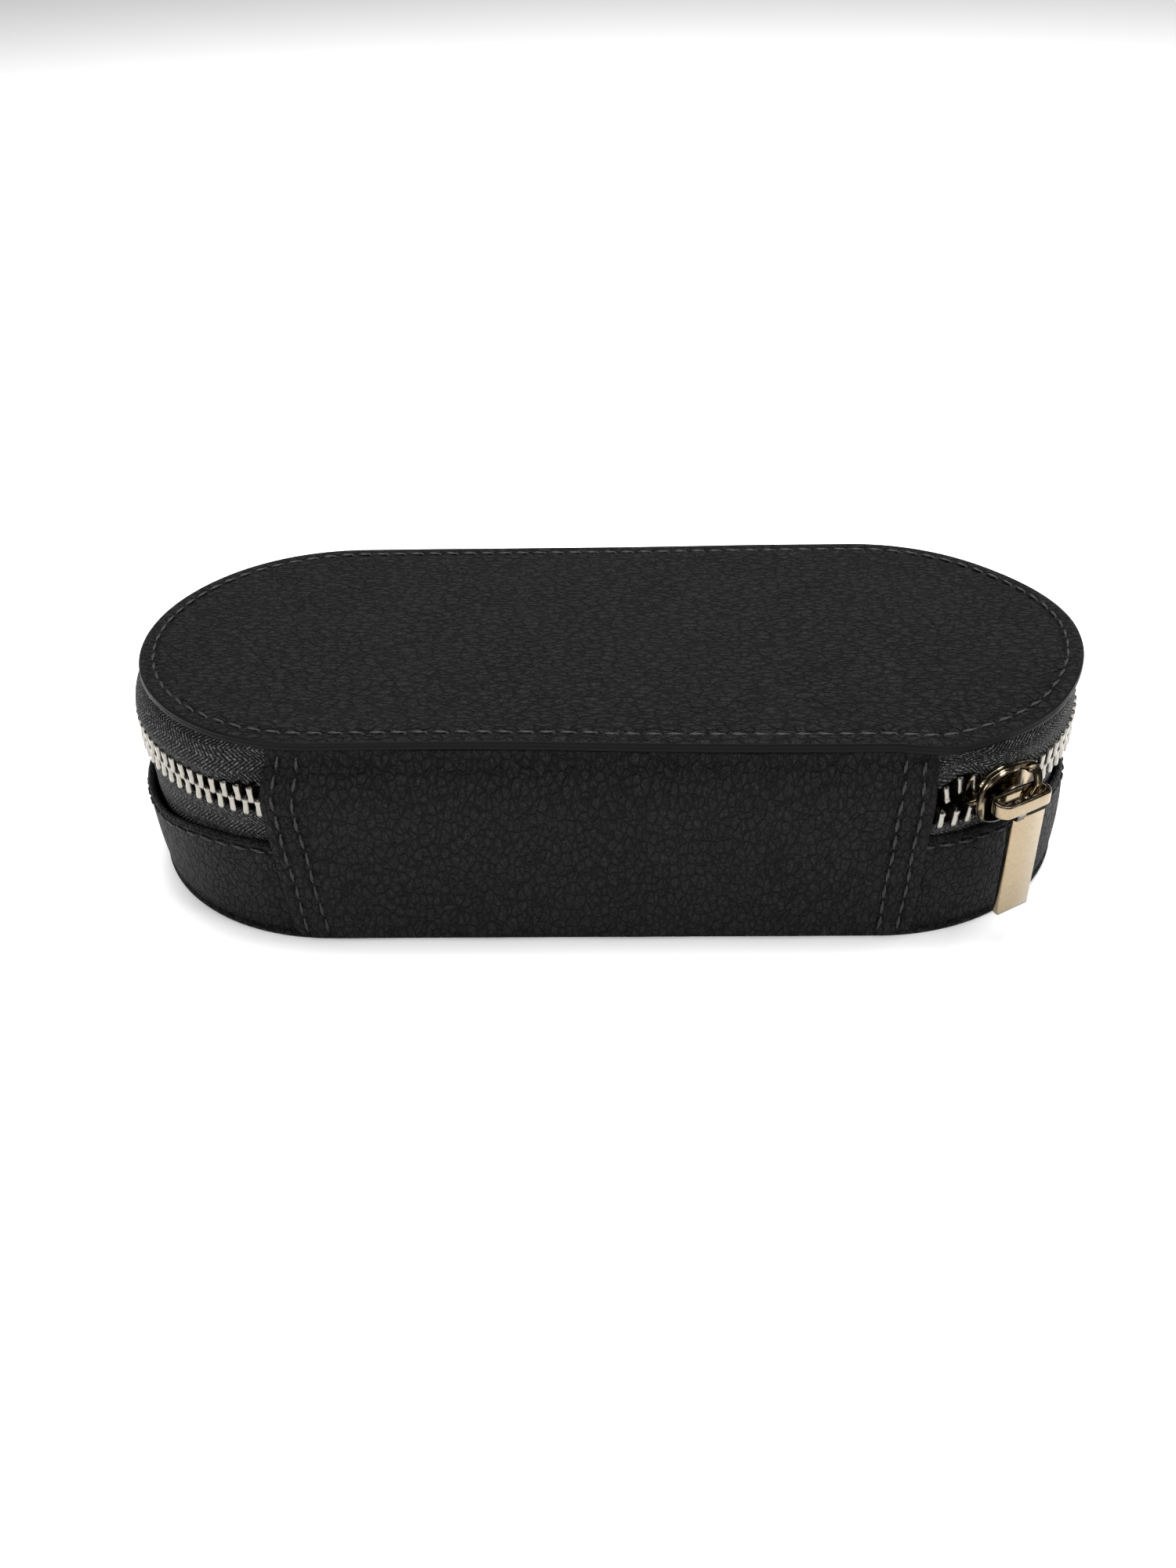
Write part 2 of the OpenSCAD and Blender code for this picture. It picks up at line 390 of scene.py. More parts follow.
def tube(path, radii, sides, up):
    """Points and faces of a capped tube along a path, with one direction of its section along up."""
    path = np.asarray(path, float)
    radii = np.broadcast_to(radii, len(path))
    tangents = np.gradient(path, axis=0)
    tangents /= np.linalg.norm(tangents, axis=1)[:, None]
    side = np.cross(tangents, up)
    side /= np.linalg.norm(side, axis=1)[:, None]
    lift = np.cross(side, tangents)
    angles = (np.arange(sides) * math.tau / sides)[None, :, None]
    section = np.cos(angles) * side[:, None] + np.sin(angles) * lift[:, None]
    return loft(path[:, None] + radii[:, None, None] * section)


class Gather:
    """Collects many small shapes into one mesh."""

    def __init__(self):
        self.verts, self.faces, self.count = [], [], 0

    def add(self, verts, faces):
        self.verts.append(np.asarray(verts, float))
        self.faces.extend(tuple(i + self.count for i in f) for f in faces)
        self.count += len(verts)

    def build(self, name):
        return make(name, np.concatenate(self.verts), self.faces)


def finish_piece(thing, material, body, slot, *nodes):
    """Gives a piece its material and, when body is a name, that body, or else bakes its place; hides the CAD
    nodes that it stands for. slot is not used.
    """
    thing.data.materials.clear()
    thing.data.materials.append(material)
    if isinstance(body, str):
        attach(thing, body)
    else:
        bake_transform(thing)
    if nodes:
        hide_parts(*nodes)
    return thing


# The bodies either side of the stretch of spine that bends when the lid opens, and that stretch's two ends.
# finish_piece only bakes pieces given it in place; nothing here bends them
BEND = ("base", "lid", (0, -SPINE_R * MM, (HINGE[2] - 6.5) * MM),
        (0, -SPINE_R * MM, (HINGE[2] + 6.5) * MM))

# ---------------------------------------------------------------- materials


class Nodes:
    """A short way to write a node material."""

    def __init__(self, name, colour, roughness, **constants):
        self.material = bpy.data.materials.new(name)
        self.material.use_nodes = True
        self.tree = self.material.node_tree
        self.shader = self.tree.nodes["Principled BSDF"]
        self.shader.inputs["Base Color"].default_value = (*colour, 1)
        self.shader.inputs["Roughness"].default_value = roughness
        for key, value in constants.items():
            self.shader.inputs[key.replace("_", " ")].default_value = value

    def add(self, kind, inputs=(), **settings):
        node = self.tree.nodes.new("ShaderNode" + kind)
        for key, value in settings.items():
            setattr(node, key, value)
        for key, value in dict(inputs).items():
            if isinstance(value, bpy.types.NodeSocket):
                self.tree.links.new(value, node.inputs[key])
            else:
                node.inputs[key].default_value = value
        return node

    def math(self, operation, a, b=0.0):
        return self.add("Math", {0: a, 1: b}, operation=operation).outputs[0]

    def scaled(self, vector, factor):
        node = self.add("VectorMath", {0: vector, 3: factor}, operation="SCALE")
        return node.outputs[0]

    def stretched(self, vector, scale):
        return self.add("Mapping", {"Vector": vector, "Scale": scale}).outputs[0]

    def place(self):
        """Object coordinates in millimetres."""
        return self.scaled(self.add("TexCoord").outputs["Object"], 1 / MM)

    def noise(self, vector, scale, detail=3.0, roughness=0.5):
        return self.add("TexNoise", {"Vector": vector, "Scale": scale, "Detail": detail,
                        "Roughness": roughness}).outputs["Fac"]

    def ramp(self, value, low, high, low_out=0.0, high_out=1.0):
        return self.add("MapRange", {"Value": value, "From Min": low, "From Max": high,
                        "To Min": low_out, "To Max": high_out}).outputs[0]

    def mix(self, factor, a, b):
        node = self.add("Mix", data_type="RGBA")
        for index, value in ((0, factor), (6, a), (7, b)):
            if isinstance(value, bpy.types.NodeSocket):
                self.tree.links.new(value, node.inputs[index])
            elif index:
                node.inputs[index].default_value = (*value, 1)
            else:
                node.inputs[index].default_value = value
        return node.outputs[2]

    def link(self, socket, value):
        self.tree.links.new(value, self.shader.inputs[socket])

    def bump(self, height, strength, distance_mm, previous=None):
        inputs = {"Height": height, "Strength": strength, "Distance": distance_mm * MM}
        if previous is not None:
            inputs["Normal"] = previous
        return self.add("Bump", inputs).outputs[0]

    def attribute(self, name):
        return self.add("Attribute", attribute_name=name).outputs["Fac"]


def tinted(colour, factor):
    return tuple(c * factor for c in colour)


def leather_material(name, colour, crease_shade, stretch):
    """Pebbled leather: rounded cells parted by fine creases, with a soft polish on the raised grain. The
    creases are painted nearly black as painted shade.
    """
    n = Nodes(name, colour, 0.5, Specular_IOR_Level=0.1)
    place = n.place()
    pulled = n.stretched(place, stretch)
    warp = n.add("TexNoise", {"Vector": pulled, "Scale": 0.7, "Detail": 2.0}).outputs["Color"]
    warped = n.add("VectorMath", {0: pulled, 1: n.scaled(warp, 1.1)}, operation="ADD").outputs[0]
    cells = n.add("TexVoronoi", {"Vector": warped, "Scale": 0.62}, feature="DISTANCE_TO_EDGE")
    small = n.add("TexVoronoi", {"Vector": warped, "Scale": 1.5}, feature="DISTANCE_TO_EDGE")
    crease_big = n.ramp(cells.outputs["Distance"], 0.0, 0.16)
    crease_small = n.ramp(small.outputs["Distance"], 0.0, 0.12)
    patch = n.ramp(n.noise(place, 0.09, 2.0), 0.42, 0.6)
    fine = n.noise(place, 5.0, 4.0, 0.6)
    raised = n.math("ADD", n.math("MULTIPLY", crease_big, n.ramp(patch, 0, 1, 0.55, 1.0)),
                    n.math("MULTIPLY", crease_small, 0.35))
    height = n.math("ADD", raised, n.math("MULTIPLY", fine, 0.3))
    # Where the creases are, which sets where the painted shade goes
    lines = n.ramp(n.math("MINIMUM", crease_big, n.ramp(crease_small, 0, 1, 0.35, 1.0)), 0.0, 0.75)
    mottle = n.ramp(n.noise(pulled, 1.1, 4.0, 0.65), 0.38, 0.64)
    mottled = n.mix(mottle, tinted(colour, 0.55), tinted(colour, 1.7))
    # Base colour: nearly black along the creases as painted shade, random mottled tone elsewhere
    n.link("Base Color", n.mix(lines, crease_shade, mottled))
    n.link("Roughness", n.math("ADD", n.ramp(fine, 0.3, 0.7, -0.05, 0.06), n.ramp(lines, 0, 1, 0.62, 0.5)))
    n.link("Normal", n.bump(height, 1.0, 1.25, n.bump(fine, 0.3, 0.08)))
    return n.material


def edge_material():
    """Painted cut edge: smooth, nearly black, slightly uneven."""
    n = Nodes("painted_edge", (0.0035, 0.0035, 0.0037), 0.42, Specular_IOR_Level=0.05)
    place = n.place()
    uneven = n.noise(place, 0.5, 3.0)
    n.link("Roughness", n.ramp(uneven, 0.3, 0.7, 0.36, 0.5))
    n.link("Normal", n.bump(n.noise(place, 1.4, 4.0), 0.3, 0.08))
    return n.material


def thread_material():
    """Twisted polyester thread."""
    n = Nodes("thread", (0.02, 0.02, 0.021), 0.45, Specular_IOR_Level=0.2)
    place = n.place()
    fibres = n.noise(n.stretched(place, (9, 9, 9)), 1.0, 4.0)
    dark, light = (0.0025, 0.0025, 0.0026), (0.034, 0.034, 0.035)
    n.link("Base Color", n.mix(n.ramp(fibres, 0.35, 0.7), dark, light))
    n.link("Normal", n.bump(fibres, 0.5, 0.04))
    return n.material


def tape_material():
    """Zip tape: a herringbone twill worked out from the distances along and across the tape, with painted
    glints and painted shade between the ribs.
    """
    n = Nodes("tape_twill", (0.009, 0.009, 0.0095), 0.65, Specular_IOR_Level=0.08)
    run, height = n.attribute("along"), n.attribute("across")
    stripe = n.math("PINGPONG", height, 2.2)
    phase = n.math("ADD", n.math("MULTIPLY", run, 7.2), n.math("MULTIPLY", stripe, 8.0))
    rib = n.ramp(n.math("SINE", phase), -1, 1)
    weft = n.ramp(n.math("SINE", n.math("MULTIPLY", height, 14.0)), -1, 1)
    place = n.place()
    # Painted highlight: bright glints in the colour where the noise is high
    painted_glint = n.ramp(n.noise(place, 2.2, 4.0, 0.75), 0.5, 0.6)
    # Ribs lighter and the grooves between them nearly black: partly the weave's pattern, partly painted
    # shade
    body = n.math("MULTIPLY", rib, n.ramp(weft, 0, 1, 0.6, 1.0))
    plain = n.mix(body, (0.0006, 0.0006, 0.0007), (0.03, 0.03, 0.031))
    painted_glint_share = n.math("MULTIPLY", painted_glint, n.math("MULTIPLY", body, 0.75))
    # Base colour: the weave with its painted shade, with the painted glints mixed in
    n.link("Base Color", n.mix(painted_glint_share, plain, (0.26, 0.26, 0.25)))
    n.link("Normal", n.bump(body, 1.0, 0.4, n.bump(n.noise(place, 9.0, 3.0), 0.3, 0.04)))
    return n.material


def metal_material(name, colour, roughness, scratch, reflection_darkening):
    """Plated metal: bright on upright faces, and painted darker in patches where a face slopes up or down,
    as a painted reflection of dim surroundings; the last argument sets how much darker.
    """
    n = Nodes(name, colour, roughness, Metallic=1.0)
    place = n.place()
    smear = n.noise(place, 0.5, 4.0)
    n.link("Roughness", n.ramp(smear, 0.3, 0.7, roughness * 0.7, roughness * 1.5))
    # Painted reflection: faces that slope up or down get a darker base colour, in patches, standing in for
    # dim surroundings mirrored in the metal
    normal = n.add("TexCoord").outputs["Normal"]
    rise = n.math("ABSOLUTE", n.add("SeparateXYZ", {0: normal}).outputs["Z"])
    patches = n.ramp(n.noise(place, 0.8, 2.0), 0.3, 0.6, reflection_darkening, 1.0)
    painted_reflection_mask = n.math("MULTIPLY", n.ramp(rise, 0.12, 0.5), patches)
    plain = n.mix(n.ramp(n.noise(place, 1.5, 4.0), 0.3, 0.75), colour, tinted(colour, 0.84))
    n.link("Base Color", n.mix(painted_reflection_mask, plain, tinted(colour, (1 - reflection_darkening) ** 2)))
    n.link("Normal", n.bump(n.noise(place, 2.5, 5.0, 0.6), scratch, 0.03))
    return n.material


def plate_material():
    """The slider's plates: the pale gold plating painted darker, with dark and light bands painted in as
    painted reflections, like a bright plating in a dim place.
    """
    n = Nodes("slider_plating", (0.2, 0.16, 0.11), 0.12, Metallic=1.0)
    place = n.place()
    # Painted reflection: the noise bands switch the colour between nearly black and bright gold
    band = n.ramp(n.noise(n.stretched(place, (0.8, 0.8, 0.3)), 0.75, 2.0, 0.4), 0.5, 0.62)
    n.link("Base Color", n.mix(band, (0.035, 0.027, 0.018), (0.33, 0.27, 0.185)))
    n.link("Roughness", n.ramp(n.noise(place, 0.6, 3.0), 0.3, 0.7, 0.08, 0.2))
    n.link("Normal", n.bump(n.noise(place, 2.5, 5.0, 0.6), 0.05, 0.03))
    return n.material


def velvet_material():
    """Short-pile velvet lining."""
    n = Nodes("velvet", (0.085, 0.075, 0.068), 0.9, Sheen_Weight=0.6, Sheen_Roughness=0.35,
              Sheen_Tint=(0.75, 0.7, 0.66, 1))
    place = n.place()
    nap = n.noise(place, 0.25, 3.0)
    pile = n.noise(place, 8.0, 3.0)
    n.link("Base Color", n.mix(n.ramp(nap, 0.35, 0.7), (0.07, 0.062, 0.056), (0.11, 0.098, 0.09)))
    n.link("Normal", n.bump(pile, 0.5, 0.12))
    return n.material


def board_material():
    n = Nodes("fibreboard", (0.45, 0.4, 0.33), 0.85)
    place = n.place()
    flock = n.noise(place, 1.2, 5.0, 0.7)
    n.link("Base Color", n.mix(flock, (0.34, 0.3, 0.25), (0.55, 0.5, 0.42)))
    n.link("Normal", n.bump(flock, 0.3, 0.1))
    return n.material


def mirror_material():
    n = Nodes("silvered_glass", (0.85, 0.87, 0.88), 0.03, Metallic=1.0)
    n.link("Roughness", n.ramp(n.noise(n.place(), 0.2, 3.0), 0.4, 0.7, 0.02, 0.05))
    return n.material


def floor_material():
    return Nodes("studio_floor", (0.93, 0.93, 0.93), 0.8, Specular_IOR_Level=0.2).material


# Nearly black colour of the leather's creases: painted shade
CREASE_SHADE = (0.0006, 0.0006, 0.0007)
# Two copies of one leather: the side copy is painted a little darker than the top copy, as painted shade on
# faces turned from the light, and its grain is stretched another way
LEATHER = leather_material("leather_top", (0.0095, 0.0095, 0.0098), CREASE_SHADE, (0.6, 1.35, 1.0))
LEATHER_SIDE_SHADED = leather_material("leather_side_shaded", (0.0085, 0.0085, 0.0088), CREASE_SHADE, (1.2, 1.2, 0.7))
EDGE = edge_material()
THREAD = thread_material()
TAPE = tape_material()
# The last number of each metal sets how dark its painted reflection is on sloped faces
NICKEL = metal_material("nickel", (0.27, 0.257, 0.23), 0.24, 0.2, 0.75)
GOLD = metal_material("pale_gold", (0.28, 0.222, 0.145), 0.13, 0.04, 0.7)
PLATE = plate_material()
VELVET = velvet_material()
BOARD = board_material()
MIRROR = mirror_material()

# ---------------------------------------------------------------- stitching

THREAD_W = 0.62
HOLE_LEAN = 0.08     # how much a stitch turns from its seam's line


def stitch(gather, middle, direction, normal, length, lean):
    """One stitch: two twisted strands that rise out of one hole and dive into the next."""
    direction = direction + np.cross(direction, normal) * lean
    direction = direction / np.linalg.norm(direction)
    side = np.cross(direction, normal)
    t = np.linspace(-1, 1, 15)
    arch = 0.30 * (1 - t ** 4) - 0.30
    for strand in (0, math.pi):
        twist = t * 2.6 + strand
        swell = THREAD_W * 0.22 * (1 - 0.6 * t ** 6)
        path = (middle + np.outer(t * length / 2, direction)
                + np.outer(swell * np.cos(twist), side)
                + np.outer(arch + 0.25 + 0.5 * swell * np.sin(twist), normal))
        gather.add(*tube(path, THREAD_W * 0.27 * (1 - 0.55 * t ** 8), 7, normal))


def seam(gather, points, normals, lean):
    """Stitches of one pitch each along a line of points."""
    run = np.concatenate([[0], np.cumsum(np.linalg.norm(np.diff(points, axis=0), axis=1))])
    count = int(round(run[-1] / STITCH_PITCH))

    def at(values, place):
        return np.array([np.interp(place, run, values[:, i]) for i in range(3)])

    for k in range(count):
        place = (k + 0.5) / count * run[-1]
        normal = at(normals, place)
        normal /= np.linalg.norm(normal)
        forward = at(points, place + 1) - at(points, place - 1)
        forward -= normal * (forward @ normal)
        stitch(gather, at(points, place), forward / np.linalg.norm(forward), normal, run[-1] / count * 0.8,
               lean * (1 + 0.5 * RNG.standard_normal()))


def stitching(name, body, lines, lean=HOLE_LEAN):
    """A thread piece with a seam along each (points, normals) line."""
    gather = Gather()
    for points, normals in lines:
        seam(gather, points, normals, lean)
    return finish_piece(gather.build(name), THREAD, body, "leather_black")


# ---------------------------------------------------------------- the lid

LID_SEAM_IN = 2.7
GROOVE = 0.28


def lid_top_z(d, u):
    """Height of the lid's leather d mm in from its edge."""
    z = TOP_Z - 0.30 * np.exp(-d / 0.35)
    z = z - GROOVE * bell(d - LID_SEAM_IN, 0.75)
    holes = 0.5 + 0.5 * np.cos(math.tau * u / STITCH_PITCH)
    z = z - 0.22 * holes ** 3 * bell(d - LID_SEAM_IN, 0.5)
    z = z - 0.22 * smooth((d - 3.5) / 6)
    return z + 0.12 * ripple(u, LID_WAVE) * np.exp(-d / 9.0)


def lid_panel():
    """The leather top, wrapped over its board, with a stitched groove near the edge."""
    steps = np.concatenate([np.linspace(0, 5.2, 22), np.linspace(6, LID_R, 22)])
    us = outline_us(1.2)[:-1]
    rows = []
    for d in reversed(steps):
        points = along(us, LID_R - 0.25 - d * (LID_R - 0.25) / LID_R, 0)
        points[:, 2] = lid_top_z(d, us)
        rows.append(points)
    wave = 0.1 * ripple(us, LID_WAVE)
    under = ((LID_R - 0.35, wave + 0.12), (LID_R - 1.2, wave), (33.7, 0), (33.5, 0.5), (20, 0.5), (0, 0.5))
    for r, z in under:
        rows.append(along(us, r, LID_Z + z))
    points = settle(np.stack(rows, 1))
    panel = tidy_mesh(grid("lid_panel", points, True, False), MERGE_PLATE)
    return finish_piece(panel, LEATHER, "lid", "leather_black", "lid_leather")


def lid_edge():
    """The painted edge: a full-height bead with a faint groove."""
    us = outline_us(1.2)[:-1]
    low, high = LID_Z - 0.02, TOP_Z - 0.22
    heights = np.linspace(0, 1, 13)
    bulge = 0.28 * (1 - (2 * heights - 1) ** 4) - 0.10 * bell(heights - 0.62, 0.07)
    outer = [(LID_R - 0.32 + b, low + (high - low) * h) for h, b in zip(heights, bulge)]
    section = np.array(outer + [(LID_R - 0.9, high - 0.05), (LID_R - 0.9, low + 0.05)])
    wave = ripple(us, LID_WAVE)[:, None]
    rough = 0.05 * ripple(us, PAINT_WAVE, (17, 29, 41, 67))[:, None]
    points = along(us[:, None], section[None, :, 0] + rough, section[None, :, 1] + 0.1 * wave)
    bead = grid("lid_edge", settle(points), True, True)
    return finish_piece(bead, EDGE, "lid", "leather_edge")


def lid_stitching():
    us = outline_us(0.9)
    points = along(us, LID_R - LID_SEAM_IN, 0)
    points[:, 2] = lid_top_z(LID_SEAM_IN, us + 0.5 * STITCH_PITCH)
    normals = np.broadcast_to([0, 0, 1.0], points.shape)
    return stitching("lid_stitching", "lid", [(settle(points), normals)])


def lid_board():
    low, high = node_box("lid_stiffener")
    r = high[1]
    section = [(0, high[2] - 0.35), (r - 0.2, high[2] - 0.35), (r, high[2] - 0.5),
               (r, low[2] + 0.1), (r - 0.1, low[2] + 0.02), (0, low[2] + 0.02)]
    board = slab_sweep("lid_board", section, 3.0, settle)
    return finish_piece(board, BOARD, "lid", "board", "lid_stiffener")


def lid_lining():
    """The velvet-covered inner face, rolled at its rim and cut out round the mirror."""
    low, high = node_box("lid_lining")
    r, bottom, top = high[1], low[2], high[2]
    hole = node_box("mirror")[1][1] + 0.15
    section = ([(r - 0.9, top)] + arc_points(r - 0.9, bottom + 0.9, 0.9, 0, -90, 7)
               + [(r - 3, bottom - 0.1), (hole + 3, bottom - 0.15)]
               + arc_points(hole + 0.5, bottom + 0.4, 0.5, -90, -180, 5) + [(hole, top)])
    rim = ring_sweep("lid_lining_pad", section, 2.0)
    move_points(rim, settle(points_of(rim)))
    return finish_piece(rim, VELVET, "lid", "lining_velvet", "lid_lining")


def lid_mirror():
    """Mirror glass with a ground bevel."""
    low, high = node_box("mirror")
    r = high[1]
    section = [(0, high[2]), (r, high[2]), (r, low[2] + 0.5), (r - 1.6, low[2]), (0, low[2])]
    glass = slab_sweep("lid_mirror", section, 3.0)
    shade(glass.data, False)
    return finish_piece(glass, MIRROR, "lid", "mirror_glass", "mirror")


# ---------------------------------------------------------------- the base

WALL_SEAM_Z = 1.7    # how far the wall's stitches run below its top edge
WALL_ROLL_Z = 0.5    # and where the turned edge begins
WALL_REACH = 9       # how far down the top edge's waves are felt
SOFT_RUN = 45        # half the length of the soft stretch at the left end
LEFT_DIP, RIGHT_DIP, DIP_RUN = 3.8, 2.6, 24    # the dips of its top edge at the two ends


def wall_dip(u):
    """How much lower the wall's top edge runs round the two ends."""
    right = bell(np.mod(u, TURN) - end_u(95), DIP_RUN, 4)
    return LEFT_DIP * on_left(u, DIP_RUN) + RIGHT_DIP * right


def edge_shift(u):
    """How far the wall's top edge stands above its plain height, in mm."""
    return 0.25 * ripple(u, WALL_EDGE_WAVE) - wall_dip(u)


def wall_profile(u, z):
    """Radius of the leather wall's outer face: it bellies a little, most at the round ends."""
    t = np.clip((z - BASE_Z) / (WALL_TOP - BASE_Z), 0, 1)
    free = smooth(past_spine(u) / 22)
    belly = (0.1 + 0.45 * free) * np.sin(math.pi * t ** 0.8)
    return WALL_R - 0.15 + belly + 0.35 * free * t + 1.2 * on_left(u, SOFT_RUN) * t ** 1.5


def wall_leather():
    """The wall, with its top edge turned in and a stitched groove below it."""
    rows = np.concatenate([np.linspace(BASE_Z, WALL_TOP - 6, 10),
                           np.linspace(WALL_TOP - 5.5, WALL_TOP - WALL_ROLL_Z, 16)])
    seam_z = WALL_TOP - WALL_SEAM_Z
    outer = [(WALL_R - 0.25 * math.exp(-((z - seam_z) / 0.6) ** 2), z) for z in rows]
    roll = arc_points(WALL_R - 0.7, WALL_TOP - WALL_ROLL_Z, 0.62, 0, 180, 7)
    inner = [(WALL_R - LEATHER_T - 0.25, WALL_TOP - 3), (WALL_R - LEATHER_T - 0.1, BASE_Z)]

    def wobble(u, r, z):
        edge = np.clip(np.exp(-(WALL_TOP - WALL_ROLL_Z - z) / WALL_REACH), 0, 1)
        wave = 0.12 * ripple(u, WALL_WAVE) * np.sin(math.pi * (z - BASE_Z) / 19)
        return r + wall_profile(u, z) - WALL_R + wave, z + edge_shift(u) * edge

    wall = ring_sweep("wall_leather_skin", outer + roll + inner, 1.5, wobble)
    return finish_piece(wall, LEATHER_SIDE_SHADED, "base", "leather_black", "wall_leather")


def wall_stitching():
    seam_z = WALL_TOP - WALL_SEAM_Z
    edge = SPINE_EDGE - 1
    us = np.arange(edge, TURN - edge, 0.9)
    shift = edge_shift(us) * math.exp(-(WALL_SEAM_Z - WALL_ROLL_Z) / WALL_REACH)
    points = along(us, wall_profile(us, seam_z) - 0.2, seam_z + shift)
    return stitching("wall_stitching", "base", [(points, station(us)[1])])


def bottom_panel():
    """The leather-covered bottom, with a rounded lip that stands out past the wall."""
    r = BASE_R
    section = ([(0, BASE_Z), (r - 3, BASE_Z)] + arc_points(r - 0.75, BASE_Z - 0.75, 0.75, 90, -90, 9)
               + [(r - 4, 0), (0, 0)])
    panel = slab_sweep("bottom_panel_skin", section, 1.8)
    return finish_piece(panel, LEATHER_SIDE_SHADED, "base", "leather_black", "bottom_panel")


def wall_lining():
    """Velvet inside the wall, its top edge rolled."""
    low, high = node_box("wall_lining")
    outer, top = high[1], high[2]
    inner = outer - 0.7
    section = ([(outer, low[2]), (outer, top - 0.4)]
               + arc_points(outer - 0.35, top - 0.35, 0.35, 0, 180, 7)
               + [(inner, top - 6), (inner, low[2])])
    lining = ring_sweep("wall_lining_cloth", section, 2.0)
    finish_piece(lining, VELVET, "base", "lining_velvet", "wall_lining")
    return lining


def wall_board():
    low, high = node_box("wall_stiffener")
    r = high[1]
    section = [(r, low[2]), (r, high[2] - 0.2), (r - 0.2, high[2]), (r - 1.3, high[2]),
               (r - 1.5, high[2] - 0.2), (r - 1.5, low[2])]
    board = ring_sweep("wall_board", section, 3.0)
    return finish_piece(board, BOARD, "base", "board", "wall_stiffener")


# ---------------------------------------------------------------- the spine

SPINE_CORNER = 2.6
SPINE_SEAMS = (2.45, 5.8)    # the stitch rows' distances from the side edge
SPINE_LEAN = 2.55            # how far the spine leans in to tuck under the lid


def spine_edge(z, sign):
    """Distance along the outline to the spine's right (1) or left (-1) edge: it is wider at its top."""
    t = (z - BASE_Z) / (LID_Z - BASE_Z)
    left = np.where(np.asarray(sign) < 0, 1.0, 0.0)
    wider = 0.8 + 1.6 * t - 2.2 * smooth((t - 0.72) / 0.28)
    return SPINE_EDGE - 0.7 + 2.4 * t + left * wider


def lid_drop(u):
    """How far the lid's edge hangs down at distances u along the outline, in mm."""
    return sink(along(u, LID_R - 0.5, LID_Z))


def spine_radius(z):
    """Radius of the spine's outer face: it leans in above the hinge to tuck under the lid."""
    lean = SPINE_LEAN * smooth((z - HINGE[2] + 2) / (LID_Z - HINGE[2] + 1))
    tuck = 0.35 * bell(z - (LID_Z - 3.4), 1.2)
    return SPINE_R - 0.15 - lean - tuck - 0.25 * bell(z - BASE_Z, 2.5)


def spine_dents(u, z, edge):
    """Grooves along the two stitch rows by each side edge, and gentle waves."""
    holes = 0.5 + 0.5 * np.cos(math.tau * (z - BASE_Z) / STITCH_PITCH)
    lines = sum(bell(edge - np.abs(u) - inset, 0.55) for inset in SPINE_SEAMS)
    dent = lines * (0.22 + 0.15 * holes ** 3)
    wave = 0.12 * np.sin(u / 9.0 + 1) * np.sin(z / 7.0) + 0.08 * np.sin(u / 4.1 + z / 5.0)
    return dent - wave


def spine_leather():
    """One piece of leather from the bottom to the lid, with rounded lower corners."""
    side = np.linspace(SPINE_EDGE - 8, SPINE_EDGE, 26)
    us = np.concatenate([-side[::-1], np.linspace(-SPINE_EDGE + 9, SPINE_EDGE - 9, 60), side])
    low, high = 0.9, LID_Z - 0.05 - lid_drop(us)
    t = np.linspace(0, 1, 70)
    from_edge = np.clip(SPINE_CORNER - (SPINE_EDGE - np.abs(us)), 0, SPINE_CORNER)
    corner = SPINE_CORNER - np.sqrt(SPINE_CORNER ** 2 - from_edge ** 2)
    z = (low + corner)[:, None] + (high - low - corner)[:, None] * t[None, :]
    edge = spine_edge(z, us[:, None])
    u = us[:, None] / SPINE_EDGE * edge
    r = spine_radius(z) - spine_dents(u, z, edge)
    rim = 0.45 * np.exp(-(edge - np.abs(u)) / 0.35)
    outer = along(u, r - rim, z)
    inner = along(u, r - LEATHER_T + 0.1, z)
    thing = closed_band("spine_leather", us, outer, inner)
    return finish_piece(thing, LEATHER_SIDE_SHADED, BEND, "leather_black",
                        "spine_base_panel", "spine_lid_panel")


def spine_stitching():
    lines = []
    for inset in SPINE_SEAMS:
        for sign in (-1, 1):
            top = LID_Z - 1.0 - float(lid_drop(sign * (spine_edge(LID_Z, sign) - inset)))
            z = np.linspace(BASE_Z + 0.6, top, 90)
            us = sign * (spine_edge(z, sign) - inset) + 0.12 * np.sin(z / 2.3 + inset)
            lines.append((along(us, spine_radius(z) - 0.22, z), station(us)[1]))
    return stitching("spine_stitching", BEND, lines, 0.05)


def hinge_lining():
    """Velvet strip inside the spine, from the wall to the lid's lining."""
    lower, upper = node_box("hinge_lining_base"), node_box("hinge_lining_lid")
    edge, low, high = lower[1][0], lower[0][2], upper[1][2]
    run = HALF + math.asin((edge - HALF) / RUN_R) * RUN_R
    us = np.linspace(-run, run, 70)
    z = np.linspace(low, high, 36)
    r = spine_radius(z) - LEATHER_T - 0.15
    outer = along(us[:, None], r[None, :], z[None, :])
    inner = along(us[:, None], r[None, :] - 0.6 + 0.1 * np.sin(us[:, None] / 6), z[None, :])
    strip = closed_band("hinge_lining_strip", us, outer, inner)
    finish_piece(strip, VELVET, BEND, "lining_velvet", "hinge_lining_base", "hinge_lining_lid")
    return strip


# ---------------------------------------------------------------- the zip

TOOTH_PITCH = 2.44
FIRST_TOOTH = 9.0      # degrees round the right end
TOOTH_WOBBLE = 0.03    # how unevenly the teeth stand, in radians
LOWER_GAPE = 1.9       # how far the lower row sinks in the open stretch
UPPER_SETBACK = 2.1    # and how far the upper row stands back there


def gape(u):
    """0 where the zip is closed, 1 in the open stretch between the spine and the slider."""
    return window(np.mod(u, TURN), end_u(0), 5, end_u(SLIDER_DEG - 5) - 6, 8)


